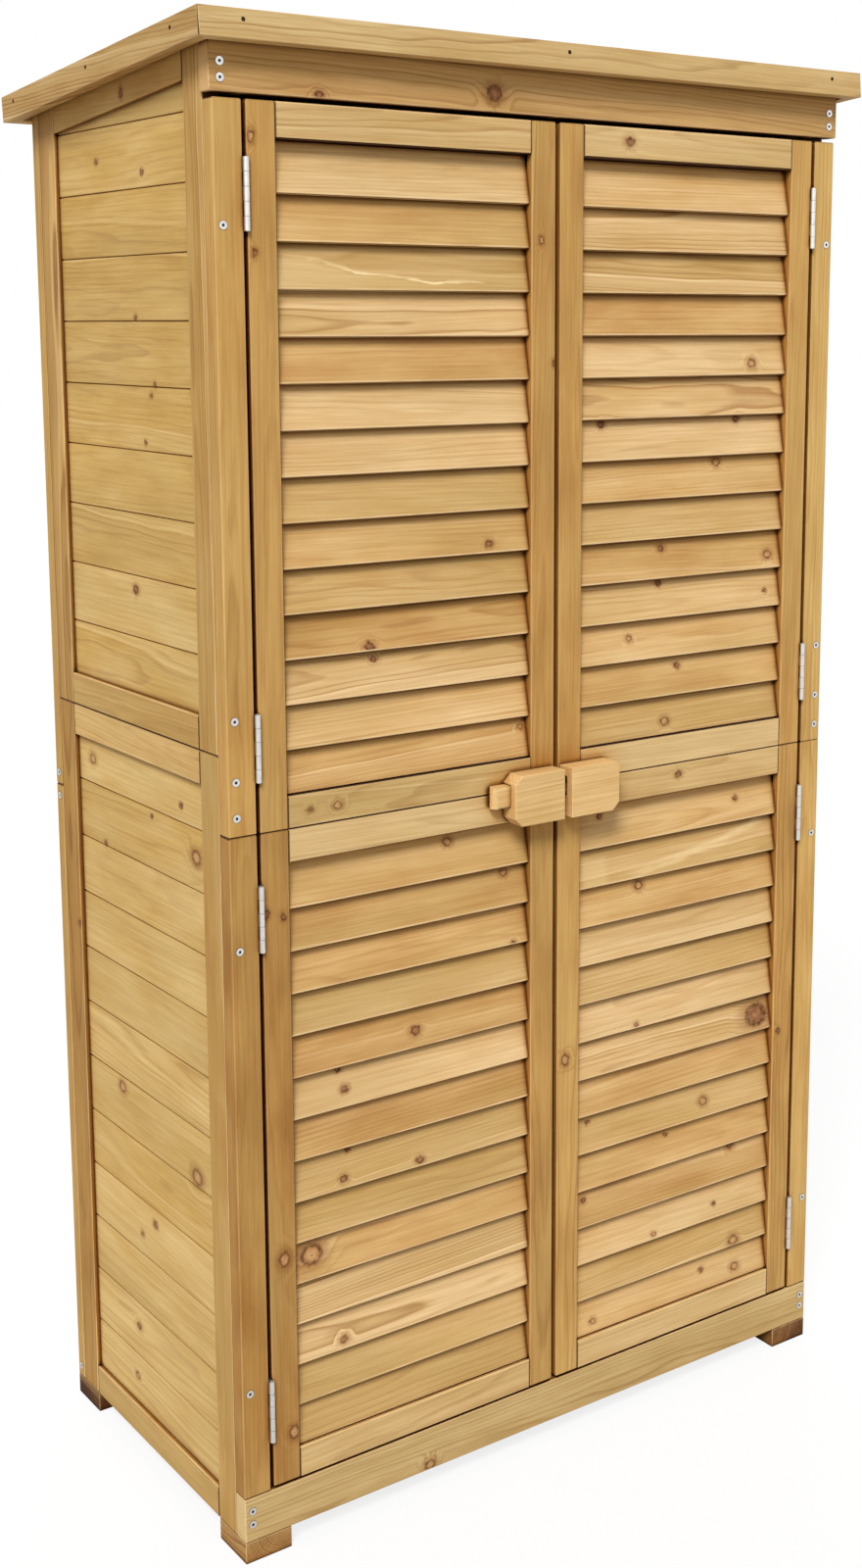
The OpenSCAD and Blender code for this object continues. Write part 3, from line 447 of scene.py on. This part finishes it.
# By number: front stile, bottom rail, rear stile and top rail.
side_stains = {
    "lower": {0: (0.5, 0.3), 1: (0.3, 0.5, 0.6), 2: (0.85, 0.1), 3: (0.12, 0.1)},
    "upper": {0: (0.5, 0.3), 1: (0.45, 0.5, 0.4), 2: (0.85, 0.1), 3: (0.25, 0.15)},
}
for side in ("left", "right"):
    for half, board_tone in (("lower", 0.25), ("upper", 0.45)):
        sticks = saw_planks(
            f"{side}_{half}_side_frame", frame_fir, chosen=side_stains[half], seams=("ends", side_seam)
        )
        boards = saw_planks(
            f"{side}_{half}_side_boards", board_fir, arris=1.1, tone=board_tone, spread=0.08,
            heart_mm=(30, 80), seams=("all",),
        )

# ---- Back panels ----
# The back is made as the sides are: a lower and an upper frame of fir, each with a stack of
# tongued boards in its groove. Its boards were picked without knots.
back_fir = stained_softwood("flat_sawn_fir_back", "#dcbb78", "#c9a35a", "#b58a46", rings=4.0, contrast=0.6)
back_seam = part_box("lower_back_frame")[1][2] * 1000
for half in ("lower", "upper"):
    sticks = saw_planks(f"{half}_back_frame", back_fir, tone=0.75, spread=0.1, seams=("ends", back_seam))
    boards = saw_planks(
        f"{half}_back_boards", back_fir, arris=1.1, tone=0.45, heart_mm=(30, 80), seams=("all",)
    )

# ---- Front stiles ----
# Four posts screwed to the front edges of the side panels. The lower left one took the stain
# darkest, and the hinges are let into them.
stile_fir = stained_softwood("planed_fir_post", "#dfb872", "#c89b57", "#a37438", contrast=0.6, upright=True)
for node, tone in (
    ("lower_left_front_stile", 0.85), ("upper_left_front_stile", 0.5),
    ("lower_right_front_stile", 0.3), ("upper_right_front_stile", 0.1),
):
    post = saw_planks(node, stile_fir, arris=1.4, tone=tone, spread=0.02, seams=("ends",), highlight_and_wear=0.15)

# ---- Bottom board and header ----
# One board ties the feet of the posts, and a deeper one their heads under the roof. The
# header is knotty and brown, the bottom board pale with a straight grain.
bottom_fir = stained_softwood(
    "planed_fir_pale_coat", "#dec28c", "#cbae76", "#b5915a", contrast=0.6, ringed=[(-176.1, 30.7, 5.5)]
)
saw_planks("bottom_board", bottom_fir, tone=0.45, spread=0.02)
header_fir = stained_softwood(
    "planed_fir_knotty_brown", "#d8b078", "#c99f64", "#a87e4a", contrast=0.85,
    knots=[(-294.7, 1529.5, 4), (-83.8, 1544.8, 8)],
)
saw_planks("header_board", header_fir, chosen={0: (0.28, 0, 0.8)})

# ---- Roof ----
# A sloping deck of fir boards on two battens, covered with mineral felt and edged with four
# mitred fascia boards.
fascia_fir = stained_softwood("planed_fir_fascia", "#dfc48e", "#d0af78", "#b89258", rings=4.0, contrast=0.85)
for node, tone in (("front_fascia", 0.4), ("back_fascia", 0.5), ("left_fascia", 0.85), ("right_fascia", 0.5)):
    saw_planks(node, fascia_fir, chosen={0: (tone, 0, 1.25)}, planes=1)
for node, slot in (("roof_battens", "brown_wood"), ("roof_deck_boards", "honey_wood")):
    saw_planks(node, inner_fir, arris=1.0, planes=1)

# ---- Shelves ----
# Two slatted shelves of the floor's thinly coated fir, out of the weather. They lie on cleats
# that are screwed to the side boards.
saw_planks("shelf_cleats", inner_fir, arris=1.0, tone=0.7)
for node in ("lower_shelf_boards", "upper_shelf_boards"):
    saw_planks(node, inner_fir, arris=1.0)

# ---- Doors ----
# Each door is two louvred panels, one above the other: grooved stiles, rails between them and
# fourteen tilted slats. The slats are the palest wood of the shed, the stiles browner.
door_stile_fir = stained_softwood(
    "planed_fir_door_stile", "#ddb670", "#c79a58", "#a5773d", contrast=0.6, upright=True,
    knots=[(-369.6, 1376.1, 3), (-4.0, 1266.1, 3), (-372.0, 712.0, 4), (-352.0, 707.0, 3), (353.5, 430.0, 3)],
    ringed=[
        (-358.4, 332.8, 6.5), (-350.3, 132.5, 6), (-371.4, 1486.1, 4), (-21.9, 1396.6, 3), (15.0, 468.5, 5),
    ],
)
rail_fir = stained_softwood(
    "planed_fir_rail", "#e3c48e", "#d8b67c", "#bc945a", contrast=0.45,
    knots=[(182.1, 784.0, 4), (-318.4, 814.9, 3), (99.0, 1505.0, 5)], ringed=[(-284.8, 815.1, 4)],
)
slat_fir = stained_softwood(
    "planed_fir_slat", "#eac996", "#dbb377", "#bf8d51", contrast=0.3,
    knots=[
        (321.7, 455.4, 14), (281.4, 739.3, 3), (71.7, 747.3, 3), (238.2, 139.1, 3), (284.9, 291.2, 4),
        (50.1, 282.8, 3), (-55.8, 620.4, 3.5), (-280.6, 400.3, 4), (-183.1, 396.7, 4), (-272.8, 429.3, 2.5),
        (-282.6, 215.2, 4), (-87.4, 1074.1, 4), (-241.4, 976.7, 5), (70.2, 1197.0, 4), (273.4, 1197.5, 4),
        (158.9, 1052.1, 4), (156.2, 1011.5, 3.5), (321.5, 990.9, 2.5), (185.7, 912.4, 3.5),
        (-232.6, 962.6, 3), (-186.5, 546.0, 5), (-277.2, 500.8, 4), (-283.3, 522.9, 3), (125.2, 485.5, 3),
        (56.5, 378.7, 2.5), (177.5, 332.5, 2.5), (255.6, 222.8, 2.5),
    ],
    ringed=[
        (131.3, 655.0, 5), (235.9, 362.8, 5), (288.6, 165.9, 6), (293.0, 128.6, 5), (-65.3, 702.9, 4),
        (-320.7, 323.6, 11), (292.6, 1262.5, 5), (63.6, 126.3, 3.5), (156.9, 211.7, 3), (242.7, 1148.7, 5),
        (324.0, 1034.5, 5), (111.2, 951.6, 3.5), (165.1, 849.0, 5), (-140.6, 750.8, 4.5), (-42.7, 867.2, 3),
    ],
)
# Two slats were scraped. A torn pale streak falls across the third one of the upper left panel, over
# wood that is paler below it, and a fainter one rises along the second one of the lower right panel.
tree = slat_fir.node_tree
shader = tree.nodes["Principled BSDF"]
wood = shader.inputs["Base Color"].links[0].from_socket
place = add_node(tree, "TexCoord", out="Object")
beside = add_node(tree, "SeparateXYZ", {0: place}, out="X")
height = add_node(tree, "SeparateXYZ", {0: place}, out="Z")
torn = add_node(tree, "VectorMath", {0: place, 1: (22, 0, 140)}, operation="MULTIPLY")
torn = add_node(tree, "TexNoise", {"Vector": torn, "Scale": 1, "Detail": 2})
patchy = add_node(tree, "MapRange", {0: torn, 1: 0.35, 2: 0.6, 3: 0.35, 4: 1})
# The slat's left, right, low and high in mm, and the streak's share of the slat's height. Then,
# from left to right along the slat, how high the streak runs, how strong it is and how pale the
# wood below it is.
scrapes = (
    (
        -350, -90, 1338.5, 1387.5, 0.04,
        [(0, 0.78), (0.2, 0.68), (0.38, 0.44), (0.72, 0.26), (1, 0.26)],
        [(0, 0.0), (0.06, 0.25), (0.4, 1.0), (0.93, 1.0), (1, 0.0)],
        [(0, 0.0), (0.02, 1.0), (0.6, 0.5), (1, 0.0)],
    ),
    (
        42, 340, 665.7, 711.5, 0.15,
        [(0, 0.8), (0.14, 0.8), (0.18, 0.1), (0.3, 0.15), (0.53, 0.37), (0.74, 0.55), (1, 0.95)],
        [(0.22, 0.0), (0.32, 0.55), (0.9, 0.55), (1, 0.0)],
        [(0, 0.0), (0.02, 0.9), (0.11, 0.9), (0.14, 0.0)],
    ),
)
for left, right, low, high, width, course, strength, paler in scrapes:
    across = add_node(tree, "MapRange", {0: beside, 1: left / 1000, 2: right / 1000})
    above = add_node(tree, "Math", {0: height, 1: low / 1000}, operation="GREATER_THAN")
    under = add_node(tree, "Math", {0: height, 1: high / 1000}, operation="LESS_THAN")
    here = add_node(tree, "Math", {0: above, 1: under}, operation="MULTIPLY")
    level = add_node(tree, "MapRange", {0: height, 1: low / 1000, 2: high / 1000})
    course = add_node(tree, "ValToRGB", {0: across}, stops=course)
    level = add_node(tree, "Math", {0: level, 1: course}, operation="SUBTRACT")
    level = add_node(tree, "Math", {0: torn, 1: 0.2, 2: level}, operation="MULTIPLY_ADD")
    # The torn noise is 0.5 on average, so the streak's middle lies at 0.1.
    edge = add_node(tree, "Math", {0: level, 1: 0.1}, operation="SUBTRACT")
    edge = add_node(tree, "Math", {0: edge}, operation="ABSOLUTE")
    edge = add_node(tree, "MapRange", {0: edge, 1: width * 0.3, 2: width, 3: 0.9, 4: 0})
    edge = add_node(tree, "Math", {0: edge, 1: patchy}, operation="MULTIPLY")
    strength = add_node(tree, "ValToRGB", {0: across}, stops=strength)
    edge = add_node(tree, "Math", {0: edge, 1: strength}, operation="MULTIPLY")
    below = add_node(tree, "MapRange", {0: level, 1: 0.0, 2: 0.08, 3: 0.4, 4: 0})
    paler = add_node(tree, "ValToRGB", {0: across}, stops=paler)
    below = add_node(tree, "Math", {0: below, 1: paler}, operation="MULTIPLY")
    for field, shade in ((below, "#e2c48c"), (edge, "#f6dca6")):
        field = add_node(tree, "Math", {0: field, 1: here}, operation="MULTIPLY")
        wood = add_node(tree, "Mix", {0: field, 6: wood, 7: shade}, **cover)
tree.links.new(wood, shader.inputs["Base Color"])
# Slats are sorted by shade as they come off the dip: tone, olive cast and boldness of the rings.
shades = {
    "pale": (0.1, 0, 1.0), "streaky": (0.2, 0.1, 2.5), "wavy": (0.35, 0.4, 2.2), "olive": (0.4, 0.4),
    "tan": (0.6, 0), "brown": (0.78, 0.1),
}
sorted_slats = {
    "left_door_lower": {
        "pale": (8,), "streaky": (2, 3), "olive": (0, 1, 5, 6, 10), "tan": (4, 11), "brown": (7, 9, 12),
    },
    "left_door_upper": {
        "pale": (7, 8, 13), "streaky": (10, 2), "olive": (4, 6, 11), "tan": (0, 9), "brown": (3,),
    },
    "right_door_lower": {
        "pale": (2, 8, 10), "streaky": (7,), "olive": (1, 9, 12), "tan": (4, 11), "brown": (3,),
    },
    "right_door_upper": {
        "pale": (7, 9), "streaky": (12, 8), "wavy": (11,), "olive": (0, 5), "tan": (1, 4, 10),
    },
}
# The tones of each panel's two stiles, from left to right.
stile_tones = {
    "left_door_lower": (0.85, 0.65), "left_door_upper": (0.6, 0.6),
    "right_door_lower": (0.35, 0.5), "right_door_upper": (0.5, 0.35),
}
# Heights in mm of the rails' edges and of the seam between the panels, alike in both doors. The
# right door's head rail has shrunk away from its slat, and the shade in that gap is painted black
# on the rail's lower band.
foot_rail_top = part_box("left_door_lower_slats")[0][2] * 1000
panel_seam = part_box("left_door_upper_stiles")[0][2] * 1000
middle_rail_top, head_rail_foot = [corner[2] * 1000 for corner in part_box("left_door_upper_slats")]
for hand in ("left_door", "right_door"):
    gaps = (head_rail_foot,) if hand == "right_door" else ()
    for half in ("lower", "upper"):
        panel = f"{hand}_{half}"
        chosen = {number: (tone, 0) for number, tone in enumerate(stile_tones[panel])}
        stiles = saw_planks(
            panel + "_stiles", door_stile_fir, arris=1.3, chosen=chosen, seams=("ends",), highlight_and_wear=0.2
        )
        rails = saw_planks(
            panel + "_rails", rail_fir, arris=1.2, tone=0.35, highlight_and_wear=0.4, wear_and_highlight_mm=0.9, gaps=gaps,
            seams=("ends", panel_seam, middle_rail_top, head_rail_foot),
        )
        chosen = {number: shades[shade] for shade, slats in sorted_slats[panel].items() for number in slats}
        slats = saw_planks(
            panel + "_slats", slat_fir, arris=1.3, tone=0.42, spread=0.1, chosen=chosen, planes=1,
            highlight_and_wear=0.9, wear_and_highlight_mm=0.9, seams=(foot_rail_top, middle_rail_top),
        )

# ---- Latch ----
# A block of fir screwed to each door, and a flat bolt that slides through both. They are cut
# from one pale offcut, and the bolt's corners are rounded for the hand.
# The latch carries less of the painted shade near neighbouring parts than the other wood.
block_fir = stained_softwood("planed_fir_latch", "#f2d29c", "#e8c286", "#cfa265", contrast=0.35, joint=0.45)
for node, arris in (("left_latch_block", 0.9), ("right_latch_block", 0.9), ("latch_bolt", 3.2)):
    saw_planks(node, block_fir, arris=arris, tone=0.45, planes=1, highlight_and_wear=0.25)

# ---- Fittings ----
# Butt hinges, pins, mending plates and screws are steel with a bright zinc plating, pressed
# and turned, so they gleam with a faint satin and a little white bloom, a few mm across.
zinc, tree = blank_material("zinc_plated_steel")
place = add_node(tree, "TexCoord", out="Object")
bloom = add_node(tree, "TexNoise", {"Vector": place, "Scale": 160, "Detail": 3})
shade = add_node(tree, "ValToRGB", {0: bloom}, stops=[(0.3, "#dcdedf"), (0.7, "#f8f8f6")])
# The driver recess and the slits between knuckles are painted dark as their shade.
recess_shade = add_node(tree, "AmbientOcclusion", {"Distance": 0.003}, out="AO", samples=8)
recess_shade = add_node(tree, "MapRange", {0: recess_shade, 1: 0.45, 2: 0.85, 3: 0.97, 4: 0})
shade = add_node(tree, "Mix", {0: recess_shade, 6: shade, 7: "#2a2723"}, **cover)
gleam = add_node(tree, "MapRange", {0: bloom, 1: 0.3, 2: 0.7, 3: 0.5, 4: 0.36})
shader = add_node(tree, "BsdfPrincipled", {"Base Color": shade, "Roughness": gleam, "Metallic": 1.0})
tree.links.new(shader, tree.nodes.new("ShaderNodeOutputMaterial").inputs[0])
for node, thing in cad.items():
    if any(word in node for word in ("screws", "pins", "leaves", "plates")):
        thing.data.materials[0] = zinc

# ---- Fascia nails ----
# Thin wire nails through the corners of the fascia, punched below its face. Their steel has
# gone dark with rust and stain, in spots about 1 mm across.
rusty, tree = blank_material("rust_darkened_wire_nail")
place = add_node(tree, "TexCoord", out="Object")
spots = add_node(tree, "TexNoise", {"Vector": place, "Scale": 900, "Detail": 2})
shade = add_node(tree, "ValToRGB", {0: spots}, stops=[(0.35, "#1d1612"), (0.7, "#4a3425")])
shader = add_node(tree, "BsdfPrincipled", {"Base Color": shade, "Roughness": 0.7, "Metallic": 0.4})
tree.links.new(shader, tree.nodes.new("ShaderNodeOutputMaterial").inputs[0])
cad["fascia_nails"].data.materials[0] = rusty

# ---- Roofing felt ----
# One bitumen sheet laid over the deck boards, inside the fascia, with green-grey slate
# granules pressed into its face. A granule is about 1.4 mm across.
felt, tree = blank_material("mineral_roofing_felt")
granules_per_metre = 700
place = add_node(tree, "TexCoord", out="Object")
grit = add_node(tree, "TexVoronoi", {"Vector": place, "Scale": granules_per_metre}, out="Color")
grit = add_node(tree, "SeparateXYZ", {0: grit})
shade = add_node(tree, "ValToRGB", {0: grit}, stops=[(0, "#39413a"), (0.5, "#56605a"), (1, "#8b938a")])
body = add_node(tree, "TexVoronoi", {"Vector": place, "Scale": granules_per_metre})
bump = add_node(tree, "Bump", {"Height": body, "Strength": 0.6, "Distance": 0.0008})
shader = add_node(tree, "BsdfPrincipled", {"Base Color": shade, "Roughness": 0.92, "Normal": bump})
tree.links.new(shader, tree.nodes.new("ShaderNodeOutputMaterial").inputs[0])
cad["roof_felt"].data.materials[0] = felt

# ---- Studio ----
# A white floor and a white room: the floor runs out to the horizon and keeps only a soft
# shadow, a large soft box hangs at the front left, and the room itself fills the rest.
bpy.ops.mesh.primitive_plane_add(size=60, location=(0, 0, 0))
floor = bpy.context.object
floor.name = "studio_floor"
# The camera sees the paper nearly burnt out to white, and the shed sees it as light grey.
paper, tree = blank_material("white_paper_floor")
seen = add_node(tree, "LightPath", out="Is Camera Ray")
shade = add_node(tree, "Mix", {0: seen, 6: "#c6c6c4", 7: "#f2f2f1"}, **cover)
matt = add_node(tree, "BsdfDiffuse", {"Color": shade})
glow = add_node(tree, "Emission", {"Color": "#ffffff", "Strength": 1.0})
lit = add_node(tree, "Math", {0: seen, 1: 0.82}, operation="MULTIPLY")
mixed = add_node(tree, "MixShader", {0: lit, 1: matt, 2: glow})
tree.links.new(mixed, tree.nodes.new("ShaderNodeOutputMaterial").inputs[0])
floor.data.materials.append(paper)
floor.select_set(False)

# The room is white to the camera and in reflections, and a third as bright as a light.
world = bpy.data.worlds.new("white_room")
world.use_nodes = True
tree = world.node_tree
tree.nodes.clear()
seen = add_node(tree, "LightPath", out="Is Camera Ray")
for kind in ("Is Glossy Ray", "Is Transmission Ray"):
    ray = add_node(tree, "LightPath", out=kind)
    seen = add_node(tree, "Math", {0: seen, 1: ray}, operation="MAXIMUM")
level = add_node(tree, "MapRange", {0: seen, 3: 0.36, 4: 1.0})
room = add_node(tree, "Background", {"Color": "#ffffff", "Strength": level})
tree.links.new(room, tree.nodes.new("ShaderNodeOutputWorld").inputs[0])
bpy.context.scene.world = world

# Each light's strength, its width in degrees, and the way its rays fall.
for name, strength, width, ray in (
    ("soft_key", 3.15, 20, (0.70, 0.72, -1.02)), ("back_fill", 1.3, 60, (-0.5, -1.0, -0.5)),
):
    bpy.ops.object.light_add(type="SUN")
    lamp = bpy.context.object
    lamp.name = name
    lamp.data.energy = strength
    lamp.data.angle = math.radians(width)
    lamp.rotation_euler = Vector(ray).to_track_quat("-Z", "Y").to_euler()
    lamp.select_set(False)
bpy.context.scene.view_settings.view_transform = "Standard"
